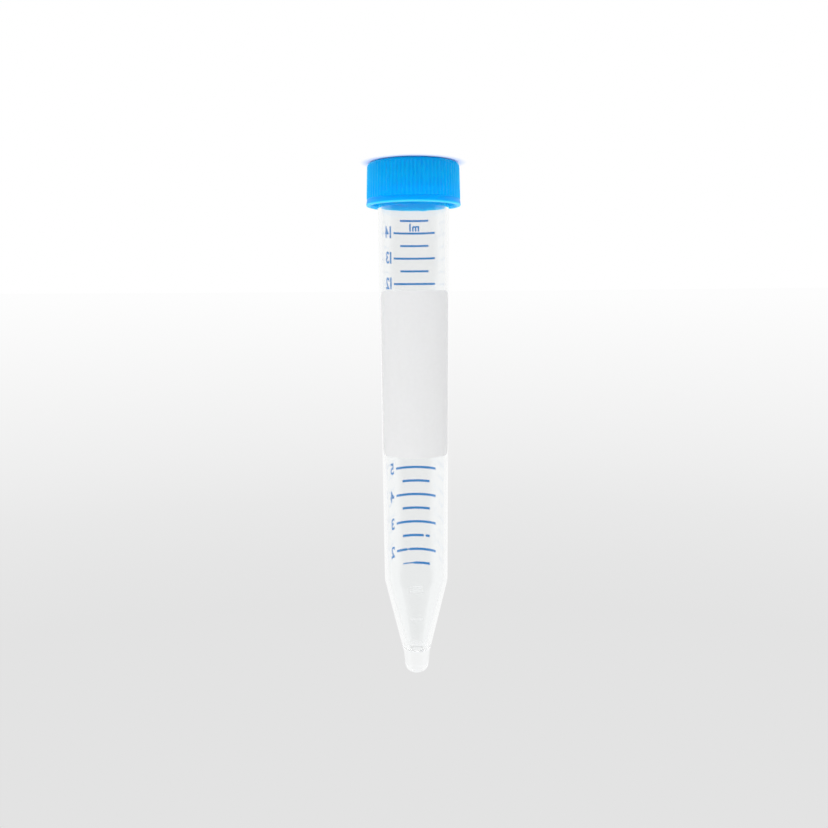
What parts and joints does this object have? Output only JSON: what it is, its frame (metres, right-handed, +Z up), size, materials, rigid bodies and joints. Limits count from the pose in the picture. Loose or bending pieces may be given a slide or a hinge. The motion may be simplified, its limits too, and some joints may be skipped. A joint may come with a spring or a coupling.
{
  "type": "15 ml conical centrifuge tube",
  "caption": "Tapered round tube with a conical tip, closed by a ribbed screw cap with a plug seal, for holding and spinning liquid samples.",
  "frame": {"origin": "centre of the cap's flat top, on the surface that the closed tube stands on, head down", "axes": "+Z up the tube's axis, from the cap to the conical tip; -Y is the side of the write-on patch and +Y the side of the printed scale"},
  "size_m": [0.0216, 0.0216, 0.1204],
  "materials": {
    "clear_polypropylene": "translucent, smooth moulded",
    "blue_polyethylene": "satin moulded"
  },
  "bodies": {
    "cap": {"screw_cap": "blue_polyethylene"},
    "tube": {"tube": "clear_polypropylene"}
  },
  "joints": [
    {"name": "cap_lift_off", "type": "slide", "parent": "cap", "child": "tube", "axis": [0, 0, 1], "range_m": [0, 0.03]}
  ]
}
